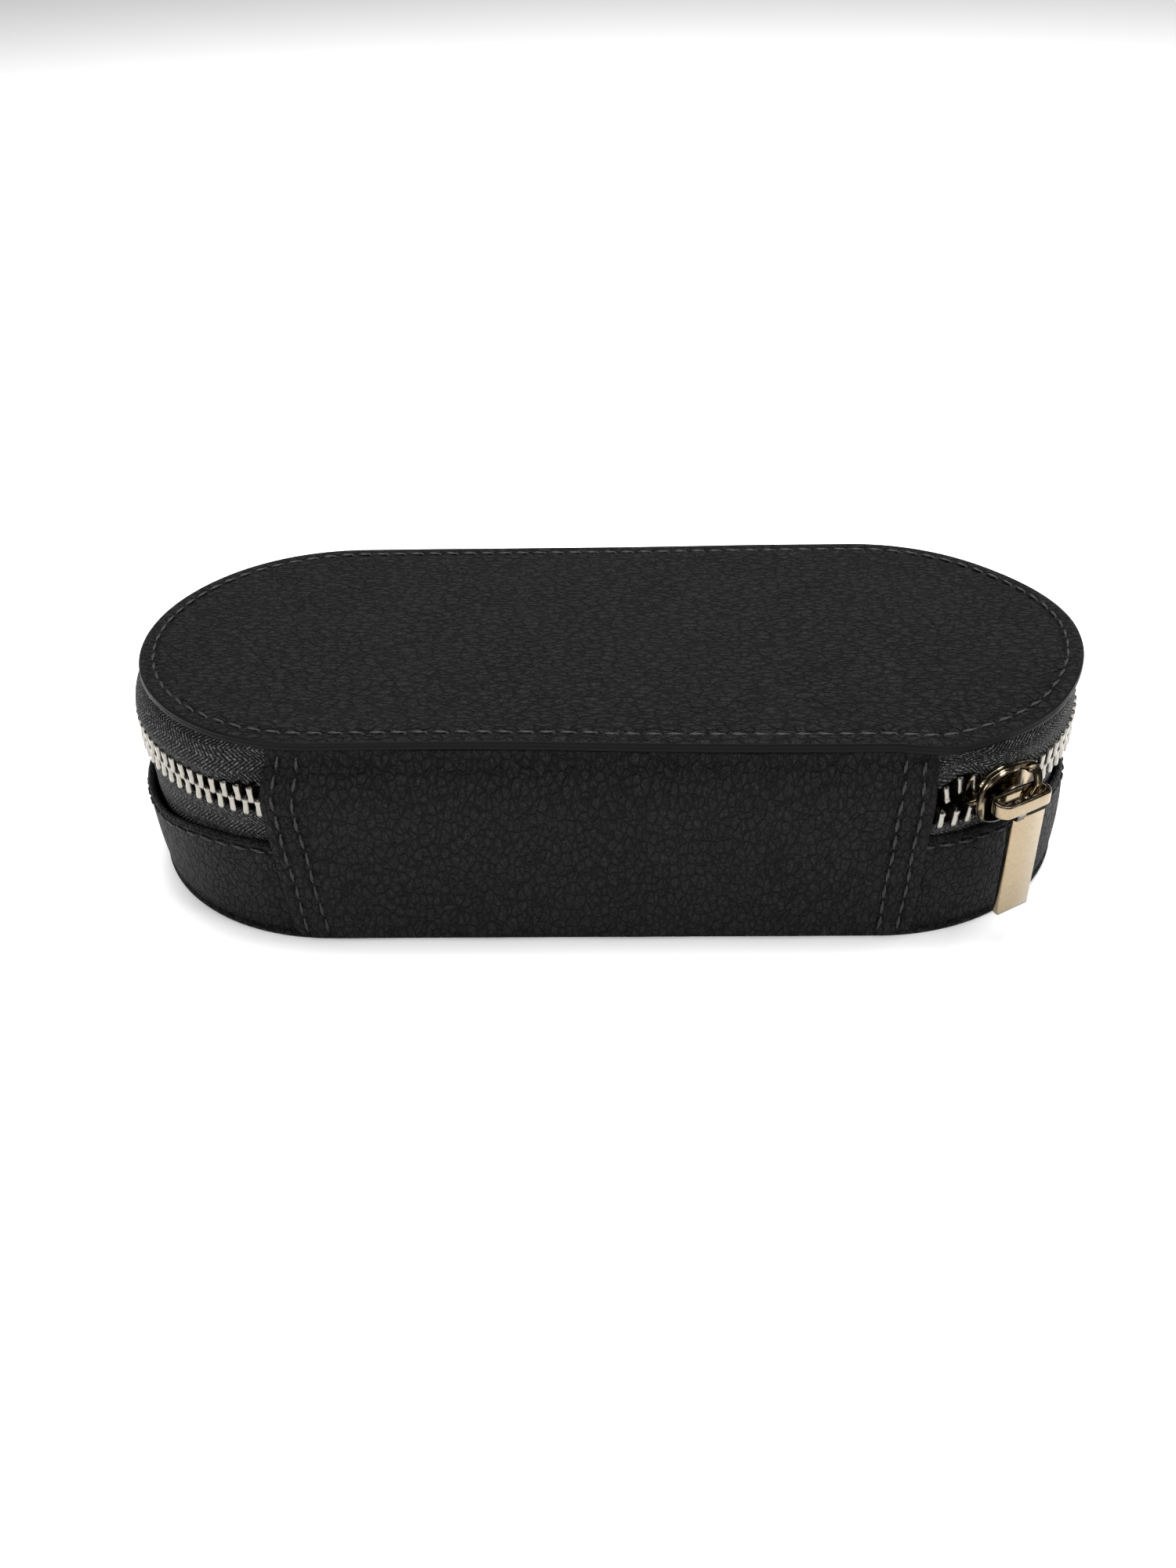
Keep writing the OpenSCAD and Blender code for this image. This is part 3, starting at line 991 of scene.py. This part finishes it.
def toward_slider(u):
    """0 at the spine's right edge and 1 at the slider."""
    start, end = end_u(9), end_u(SLIDER_DEG - 8)
    return smooth((np.mod(u, TURN) - start) / (end - start))


def upper_lift(u):
    """How far the lid's half of the zip rises over the open stretch, in mm."""
    return (4.2 * toward_slider(u) - 2.0) * gape(u)


def under_spine(u, r, z):
    """Pulls a tape's radius in beside the spine so that it passes under the leather."""
    near = 1 - smooth((past_spine(u) - 3) / 9)
    return r + (np.minimum(r, spine_radius(z) - LEATHER_T - 0.15) - r) * near


def tape_us():
    edge = SPINE_EDGE - 2.2
    return np.linspace(edge, TURN - edge, 300)


def tape_band(name, us, r, z, thick):
    return closed_band(name, us, along(us[:, None], r, z), along(us[:, None], r - thick, z))


def upper_tape():
    """The lid's half of the tape: it bellies out below the lid's edge and gapes beside the spine."""
    us = tape_us()
    t = np.linspace(0, 1, 26)[None, :]
    open_ = gape(us)[:, None]
    low_z = CHAIN_HIGH - 0.5 * (1 - open_) + upper_lift(us)[:, None] + chain_rise(us)[:, None]
    low_r = CHAIN_R + 0.45 - UPPER_SETBACK * open_
    high_z = LID_Z - 0.15
    z = low_z + (high_z - low_z) * t
    on_right = bell(us - end_u(75), 45, 4)[:, None]
    belly = (0.75 + 0.2 * ripple(us, TAPE_WAVE)[:, None] - 0.4 * on_right) * (1 - 0.75 * open_)
    r = low_r + (LID_R - 1.7 - low_r) * t ** 2 + belly * np.sin(math.pi * t ** 0.9)
    r = r + 0.10 * np.sin(us[:, None] / 3.1) * np.sin(math.pi * t)
    r = under_spine(us[:, None], r, z)
    band = tape_band("upper_tape_cloth", us, r, z, 0.55)
    points = points_of(band)
    share = smooth((points[:, 2:] - CHAIN_HIGH - 2) / (LID_Z - CHAIN_HIGH - 2))
    move_points(band, points + (settle(points) - points) * share)
    finish_piece(band, TAPE, "lid", "zip_tape", "upper_tape")
    return band


def lower_tape():
    """The base's half of the tape, from behind the wall up to its teeth."""
    us = tape_us()
    t = np.linspace(0, 1, 30)[None, :]
    open_ = gape(us)[:, None]
    low_z = node_box("lower_tape")[0][2]
    high_z = CHAIN_LOW + 0.5 - LOWER_GAPE * open_ + chain_rise(us)[:, None]
    z = low_z + (high_z - low_z) * t
    above = smooth((z - WALL_TOP + 1.5) / (high_z - WALL_TOP + 1.5))
    inner = WALL_R - LEATHER_T - 0.45
    follow = 0.9 * on_left(us, SOFT_RUN)[:, None] * smooth((z - WALL_TOP + 8) / 6) * (1 - above)
    r = inner + (CHAIN_R + 0.35 - inner + 0.10 * np.sin(us[:, None] / 2.7)) * above + follow
    band = tape_band("lower_tape_cloth", us, r, z, 0.5)
    finish_piece(band, TAPE, "base", "zip_tape", "lower_tape")
    return band


def tooth_shape():
    """One tooth pointing up (+Z) from its tape at z 0: a rounded bar with a necked stem and a domed head."""
    heights = np.array([0.0, 0.12, 0.6, 1.4, 2.1, 2.5, 2.95, 3.35, 3.6, 3.72])
    half_w = np.array([0.50, 0.60, 0.62, 0.58, 0.55, 0.60, 0.66, 0.60, 0.42, 0.15])
    half_t = np.array([0.95, 1.08, 1.10, 1.08, 0.98, 1.00, 1.06, 0.96, 0.66, 0.25])
    corners = 12
    angles = (np.arange(corners) + 0.5) * math.tau / corners
    cosine, sine = np.cos(angles), np.sin(angles)
    box_x = np.sign(cosine) * np.abs(cosine) ** 0.45
    box_y = np.sign(sine) * np.abs(sine) ** 0.45
    return loft([level(w * box_x, d * box_y, h) for h, w, d in zip(heights, half_w, half_t)])


def place_tooth(gather, shape, u, r, z, flip, tilt, lean):
    """Puts a tooth on the outline. flip points it down, tilt turns it about the outward normal, and
    lean tips it outward."""
    verts, faces = shape
    centre, normal, tangent = (v[0] for v in station(np.array([u])))
    up = np.array([0, 0, 1.0])
    local = verts.copy()
    if flip:
        local[:, 2] *= -1
        faces = [tuple(reversed(f)) for f in faces]
    c, s = math.cos(tilt), math.sin(tilt)
    x, height = local[:, 0] * c + local[:, 2] * s, local[:, 2] * c - local[:, 0] * s
    depth = local[:, 1] + height * lean
    base = centre + normal * r + up * z
    gather.add(base + np.outer(x, tangent) + np.outer(depth, normal) + np.outer(height, up), faces)


def tooth_places(shift):
    """Distances along the outline to one row's teeth, from one edge of the spine to the other."""
    run = math.radians(180 - FIRST_TOOTH) * RUN_R
    start = end_u(FIRST_TOOTH)
    total = 2 * run + 2 * HALF
    count = int(total / TOOTH_PITCH)
    first, last = spine_edge(CHAIN_Z, 1) - 0.3, TURN - spine_edge(CHAIN_Z, -1) + 0.3
    places = [start + (i + 0.5 + shift) * TOOTH_PITCH for i in range(count)]
    return [u for u in places if first < u < last]


def chain_rise(u):
    """The chain stands a little higher away from the slider, most round the left end."""
    u = np.mod(u, TURN)
    start, end = end_u(SLIDER_DEG - 15), end_u(10, right=False)
    rise = 0.6 * smooth((u - start - 12) / 35) + 1.2 * bell(u - LEFT_END, 60)
    rise = rise * (1 - 0.25 * smooth((u - LEFT_END) / (end - LEFT_END)))
    return rise - 0.5 * (1 - smooth((u - start) / 30))


def lower_teeth():
    gather, shape = Gather(), tooth_shape()
    for u in tooth_places(0.5):
        g = float(gape(u))
        z = CHAIN_LOW - 0.1 - LOWER_GAPE * g + chain_rise(u)
        place_tooth(gather, shape, u, CHAIN_R - 0.2 * g, z, False,
                    0.10 * g + TOOTH_WOBBLE * RNG.standard_normal(), 0.05 * g)
    return finish_piece(gather.build("lower_teeth_row"), NICKEL, "base", "zip_teeth", "lower_teeth")


def upper_teeth():
    gather, shape = Gather(), tooth_shape()
    for u in tooth_places(0.0):
        g = float(gape(u))
        z = CHAIN_HIGH + 0.1 + float(upper_lift(u)) + chain_rise(u)
        place_tooth(gather, shape, u, CHAIN_R - UPPER_SETBACK * g, z, True,
                    -0.06 * g + TOOTH_WOBBLE * RNG.standard_normal(), -0.15 * g)
    return finish_piece(gather.build("upper_teeth_row"), NICKEL, "lid", "zip_teeth", "upper_teeth")


# ---------------------------------------------------------------- the slider and puller

SLIDER_MID = SLIDER_Z - 0.35               # height of the plates' middle
SLIDER_FRONT = CHAIN_R + TOOTH_T / 2 + 1.35
SLIDER_BACK = CHAIN_R - TOOTH_T / 2 - 1.35
FLANGE_R = 0.45


def at_slider(points):
    """Local points (along the chain away from the spine, out from the centre, height) to the frame."""
    points = np.asarray(points, float)
    out = np.array([math.sin(SLIDER_ANGLE), -math.cos(SLIDER_ANGLE), 0])
    run = np.array([math.cos(SLIDER_ANGLE), math.sin(SLIDER_ANGLE), 0])
    return (np.array([HALF, 0, 0]) + points[..., :1] * run + points[..., 1:2] * out
            + points[..., 2:] * np.array([0, 0, 1.0]))


def add_local(gather, shape):
    """Adds a shape that is given in the slider's own directions."""
    gather.add(at_slider(shape[0]), shape[1])


def slider_outline():
    """(t, z) outline of the slider's face: a broad shoulder at the open side and a narrower tail."""
    angles = around(64)
    c, s = np.cos(angles), np.sin(angles)
    t = np.where(c < 0, -7.4 * np.abs(c) ** 0.85, 6.0 * np.abs(c) ** 0.6)
    height = 5.55 - 0.75 * smooth((t + 3.5) / 7.5)
    z = np.sign(s) * np.abs(s) ** np.where(c < 0, 0.75, 0.42) * height
    return np.stack([t, z], 1)


def domed_plate(outline, back, front, edge):
    """Points and faces of a plate with a rounded front edge, in (t, n, z)."""
    centre = outline.mean(0)
    layers = [(0.93, back), (1.0, back + 0.2 * (front - back))]
    for a in np.linspace(0, math.pi / 2, 7):
        layers.append((1.0 - edge * (1 - math.cos(a)), front - (front - back) * 0.45 * (1 - math.sin(a))))
    layers += [(0.55, front + 0.12), (0.25, front + 0.18)]
    rings = []
    for scale, n in layers:
        ring = centre + (outline - centre) * scale
        rings.append(np.stack([ring[:, 0], np.full(len(ring), n), ring[:, 1] + SLIDER_MID], 1))
    return loft(rings)


def slider_body():
    """Two plates with turned-in flanges along top and bottom, and the wedge that joins them."""
    outline = slider_outline()
    gather = Gather()
    add_local(gather, domed_plate(outline, SLIDER_FRONT - 1.3, SLIDER_FRONT, 0.16))
    verts, faces = domed_plate(outline * 0.97, 1.2, 0, 0.14)
    add_local(gather, (verts + [0, SLIDER_BACK, 0], faces))
    upper = outline[outline[:, 1] > 0]
    upper = upper[np.argsort(upper[:, 0])]
    t = np.linspace(-6.6, 5.4, 22)
    height = np.interp(t, upper[:, 0], upper[:, 1])
    for sign in (-1, 1):
        for n in (SLIDER_FRONT - 1.475, SLIDER_BACK + 1.125):
            path = np.stack([t, np.full_like(t, n), SLIDER_MID + sign * (height - 0.4)], 1)
            add_local(gather, tube(path, FLANGE_R, 12, np.array([0, 1.0, 0])))
    c, s = np.cos(around(24)), np.sin(around(24))
    add_local(gather, domed_plate(np.stack([3.6 * c - 5.2, 0.9 * s], 1), CHAIN_R - 1.3, CHAIN_R + 1.3, 0.1))
    body = tidy_mesh(gather.build("slider_plates"), MERGE_FINE)
    return finish_piece(body, PLATE, "slider", "zip_slider", "slider_body")


def curve_through(points, count):
    """A smooth line through a few (n, z) points."""
    points = np.asarray(points, float)
    padded = np.concatenate([[2 * points[0] - points[1]], points, [2 * points[-1] - points[-2]]])
    out = []
    for i in range(1, len(padded) - 2):
        p0, p1, p2, p3 = padded[i - 1:i + 3]
        for k in range(count):
            s = k / count
            out.append(0.5 * (2 * p1 + (p2 - p0) * s + (2 * p0 - 5 * p1 + 4 * p2 - p3) * s * s
                              + (3 * p1 - p0 - 3 * p2 + p3) * s ** 3))
    out.append(points[-1])
    return np.array(out)


def rounded_section(width, depth, corner, count=5):
    """Closed rounded rectangle centred on 0."""
    points = []
    for cx, cy, start in ((1, 1, 0), (-1, 1, 90), (-1, -1, 180), (1, -1, 270)):
        points += arc_points(cx * (width / 2 - corner), cy * (depth / 2 - corner), corner,
                             start, start + 90, count)
    return np.array(points)


def slider_bridge():
    """The strap that arches out over the plate and carries the ring, with a clip at its top foot."""
    low, high = node_box("slider_bridge")
    top, bottom = high[2], low[2]
    plate, crown = SLIDER_FRONT - 0.05, RING_N
    line = curve_through([(plate - 0.2, top - 0.5), (plate + 1.2, top - 0.2), (crown - 0.3, top - 1.8),
                          (crown, SLIDER_Z + 1.5), (crown, SLIDER_Z - 2), (crown - 0.6, bottom + 1.2),
                          (plate + 0.8, bottom + 0.35), (plate - 0.3, bottom + 0.7)], 6)
    tangents = np.gradient(line, axis=0)
    tangents /= np.linalg.norm(tangents, axis=1)[:, None]
    section = rounded_section(1.7, 0.85, 0.3)
    side = 1.0 + 2.2 * smooth((line[:, 1] - SLIDER_Z) / (top - SLIDER_Z))
    gather = Gather()
    add_local(gather, loft([np.stack([at + section[:, 0], p[0] + section[:, 1] * tangent[1],
                                      p[1] - section[:, 1] * tangent[0]], 1)
                            for p, tangent, at in zip(line, tangents, side)]))
    clip = rounded_section(2.3, 1.5, 0.35)
    layers = [(0.9, top - 0.75), (1.0, top - 0.6), (1.0, top + 0.15), (0.88, top + 0.32)]
    add_local(gather, loft([level(side[0] + clip[:, 0] * k, plate + 0.55 + clip[:, 1] * k, z)
                            for k, z in layers]))
    bridge = tidy_mesh(gather.build("slider_strap"), MERGE_FINE)
    return finish_piece(bridge, GOLD, "slider", "zip_slider", "slider_bridge")


# The puller's ring and bar, in mm. side is measured along the chain, away from the spine
RING = {"length": 11.7, "depth": 4.4, "band": 0.9, "height": 2.6, "side": -1.9}
RING_MID = RING_Z + 1.3
RING_CENTRE = RING_N + 0.5
RING_FRONT = RING_CENTRE + RING["depth"] / 2
BAR = {"width": 7.2, "thick": 1.7, "step": 0.8, "lean": 0.4, "side": -0.2}


def puller_ring(gather):
    """A level loop of flat band with softened edges."""
    radius = (RING["depth"] - RING["band"]) / 2
    straight = (RING["length"] - RING["depth"]) / 2
    section = rounded_section(RING["band"], RING["height"], 0.32)
    rings = []
    for angle in around(72):
        c, s = math.cos(angle), math.sin(angle)
        x = RING["side"] + straight * np.clip(c * 3, -1, 1)
        reach = radius + section[:, 0]
        rings.append(np.stack([x + reach * c, RING_CENTRE + reach * s, RING_MID + section[:, 1]], 1))
    gather.add(at_slider(np.concatenate(rings)), grid_faces(len(rings), len(section), True, True))


def puller_bar(gather):
    """The flat bar, a step behind the ring's front, thin at its root and leaning in at its foot."""
    top = RING_MID - RING["height"] / 2 - 1.6
    foot = node_box("puller")[0][2]
    face = RING_FRONT - BAR["step"]
    zs = np.concatenate([[top], np.linspace(top - 0.4, top - 2.4, 6),
                         np.linspace(top - 4, foot + 0.3, 10), [foot]])
    lean = BAR["lean"] * (top - zs) / (top - foot)
    thick = 1.0 + (BAR["thick"] - 1.0) * smooth((top - 1.2 - zs) / 1.2)
    shrink = np.where(zs < foot + 0.1, 0.12, 0.0)
    rings = []
    for z, shift, t, cut in zip(zs, lean, thick, shrink):
        section = rounded_section(BAR["width"] - 2 * cut, t - cut, 0.22)
        crown = 0.75 * (1 - (section[:, 0] / (BAR["width"] / 2)) ** 2) - 0.55
        section[:, 1] += np.where(section[:, 1] > 0, crown, 0)
        rings.append(level(BAR["side"] + section[:, 0], face - shift - t / 2 + section[:, 1], z))
    add_local(gather, loft(rings))


def puller_root(gather):
    """The neck at the bar's left that joins it to the ring, which leaves a dark slot beside it."""
    width = 1.9
    section = rounded_section(width, 1.5, 0.3)
    x = BAR["side"] - BAR["width"] / 2 + width / 2 + section[:, 0] * 0.98
    y = RING_FRONT - 0.75 + section[:, 1] * 0.9
    # Height above the ring's middle, and how far the neck is set back there
    steps = ((0.9, 0.35), (0.5, 0.15), (-1.2, 0.25), (-3.0, 0.75))
    add_local(gather, loft([level(x, y - back, RING_MID + rise) for rise, back in steps]))


def puller():
    gather = Gather()
    puller_ring(gather)
    puller_bar(gather)
    puller_root(gather)
    thing = tidy_mesh(gather.build("puller_ring_and_bar"), MERGE_FINE)
    return finish_piece(thing, GOLD, "puller", "zip_slider", "puller")


# ---------------------------------------------------------------- the inside


def floor_pad():
    """The velvet floor, swept as a flat pad with a rounded rim; its quilting is not modelled."""
    low, high = node_box("floor_pad")
    r = high[1]
    top = high[2] - 0.1
    section = [(0, top), (r * 0.5, top), (r - 6, top), (r - 2, high[2] - 0.25), (r - 0.6, high[2] - 0.6),
               (r - 0.1, high[2] - 1.1), (r - 0.1, low[2]), (0, low[2])]
    pad = slab_sweep("floor_cushion", section, 2.0)
    return finish_piece(pad, VELVET, "base", "lining_velvet", "floor_pad")


def padded_board(node, name):
    """A padded divider: a board in velvet, rounded along its top and swollen between its ends."""
    low, high = node_box(node)
    size = high - low
    middle = (low + high) / 2
    lengthways = 0 if size[0] > size[1] else 1
    thick = size[1 - lengthways]
    s = np.linspace(-1, 1, 40)
    half_t = thick / 2 * (0.72 + 0.28 * (1 - s ** 8))
    profile = rounded_section(1.0, 1.0, 0.48, 7)
    rings = []
    for along_, t in zip(s, half_t):
        across = profile[:, 0] * 2 * t
        tall = np.where(profile[:, 1] > 0, size[2] / 2 + (profile[:, 1] - 0.5) * thick,
                        -size[2] / 2 + (profile[:, 1] + 0.5) * 0.6)
        point = np.zeros((len(profile), 3))
        point[:, lengthways] = middle[lengthways] + along_ * size[lengthways] / 2
        point[:, 1 - lengthways] = middle[1 - lengthways] + across
        point[:, 2] = middle[2] + tall
        rings.append(point)
    thing = tidy_mesh(make(name, *loft(rings)))
    return finish_piece(thing, VELVET, "base", "lining_velvet", node)


def ring_roll(node, name):
    """A foam roll in velvet, flat where it is glued down and gathered at its ends."""
    low, high = node_box(node)
    size = high - low
    middle = (low + high) / 2
    s = np.linspace(-1, 1, 44)
    ends = np.clip((np.abs(s) - 0.9) / 0.1, 0, 1)
    swell = np.sqrt(1 - ends ** 2) * 0.35 + 0.65
    angles = around(40)
    rings = []
    for at, fat in zip(s, swell):
        pucker = 1 + 0.012 * np.sin(9 * angles) * (np.abs(at) > 0.8)
        radius = size[1] / 2 * 0.985 * fat * pucker
        z = np.sin(angles) * radius + (high[2] - size[1] / 2 - FLOOR_Z)
        rings.append(np.stack([np.full_like(z, middle[0] + at * size[0] / 2),
                               middle[1] + np.cos(angles) * radius, FLOOR_Z + np.maximum(z, 0.05)], 1))
    thing = tidy_mesh(make(name, *loft(rings)))
    return finish_piece(thing, VELVET, "base", "lining_velvet", node)


def end_stops():
    """The CAD stops stay as they are, in nickel."""
    node = frame["nodes"]["end_stops"]
    node.data.materials.clear()
    node.data.materials.append(NICKEL)


# ---------------------------------------------------------------- studio

# The camera in degrees, mm and pixels of focal length
CAMERA = {"azimuth": 1.91, "elevation": 34.64, "roll": -1.52, "distance": 301.3, "pixels": 1945.0,
          "target": (-3.43, 0.0, 7.75)}
PHOTO_HEIGHT = 2000
SENSOR = 36
FLOOR_HALF, FLOOR_TOP = 2500, -0.02


def camera():
    """The photograph's viewing angle. The sensor's width spans the picture's long side."""
    azimuth, elevation, roll = (math.radians(CAMERA[k]) for k in ("azimuth", "elevation", "roll"))
    back = Vector((math.sin(azimuth) * math.cos(elevation), -math.cos(azimuth) * math.cos(elevation),
                   math.sin(elevation)))
    data = bpy.data.cameras.new("camera")
    data.sensor_width = SENSOR
    data.lens = CAMERA["pixels"] / PHOTO_HEIGHT * SENSOR
    data.clip_start, data.clip_end = 0.01, 10
    thing = bpy.data.objects.new("camera", data)
    bpy.context.scene.collection.objects.link(thing)
    forward = -back
    right = forward.cross(Vector((0, 0, 1))).normalized()
    up = right.cross(forward)
    turned_right = right * math.cos(roll) + up * math.sin(roll)
    turned_up = -right * math.sin(roll) + up * math.cos(roll)
    axes = Matrix((turned_right, turned_up, back)).transposed().to_4x4()
    place = (Vector(CAMERA["target"]) + back * CAMERA["distance"]) * MM
    thing.matrix_world = Matrix.Translation(place) @ axes
    bpy.context.scene.camera = thing


def area_light(name, place, target, size, power):
    data = bpy.data.lights.new(name, "AREA")
    data.shape, data.size, data.size_y = "RECTANGLE", size[0], size[1]
    data.energy = power
    thing = bpy.data.objects.new(name, data)
    thing.location = place
    thing.rotation_euler = (Vector(target) - Vector(place)).to_track_quat("-Z", "Y").to_euler()
    bpy.context.scene.collection.objects.link(thing)


def studio():
    corners = [(FLOOR_HALF * x, FLOOR_HALF * y, FLOOR_TOP) for x, y in ((-1, -1), (1, -1), (1, 1), (-1, 1))]
    floor = make("floor", corners, [(0, 1, 2, 3)], False)
    floor.data.materials.append(floor_material())
    world = bpy.data.worlds.new("studio")
    world.use_nodes = True
    backdrop = world.node_tree.nodes["Background"].inputs
    backdrop["Color"].default_value = (1, 1, 1, 1)
    backdrop["Strength"].default_value = 0.4
    bpy.context.scene.world = world
    bpy.context.scene.view_settings.view_transform = "Standard"
    area_light("key", (0.05, 0.25, 0.8), (0, 0, 0.02), (0.8, 0.6), 16)
    area_light("fill", (-0.35, -0.75, 0.5), (0, 0, 0.02), (0.5, 0.4), 6)
    area_light("side", (0.75, -0.4, 0.4), (0.05, 0, 0.02), (0.25, 0.5), 4)


# ---------------------------------------------------------------- building it


def build():
    camera()
    studio()
    for piece in (lid_panel, lid_edge, lid_stitching, lid_board, lid_lining, lid_mirror, bottom_panel,
                  wall_leather, wall_stitching, wall_board, wall_lining, spine_leather, spine_stitching,
                  hinge_lining, upper_tape, lower_tape, upper_teeth, lower_teeth, end_stops, slider_body,
                  slider_bridge, puller, floor_pad):
        piece()
    padded_board("cross_divider_left", "divider_left")
    padded_board("cross_divider_right", "divider_right")
    padded_board("long_divider", "divider_long")
    for k in range(1, 6):
        ring_roll(f"ring_roll_{k}", f"ring_cushion_{k}")


build()
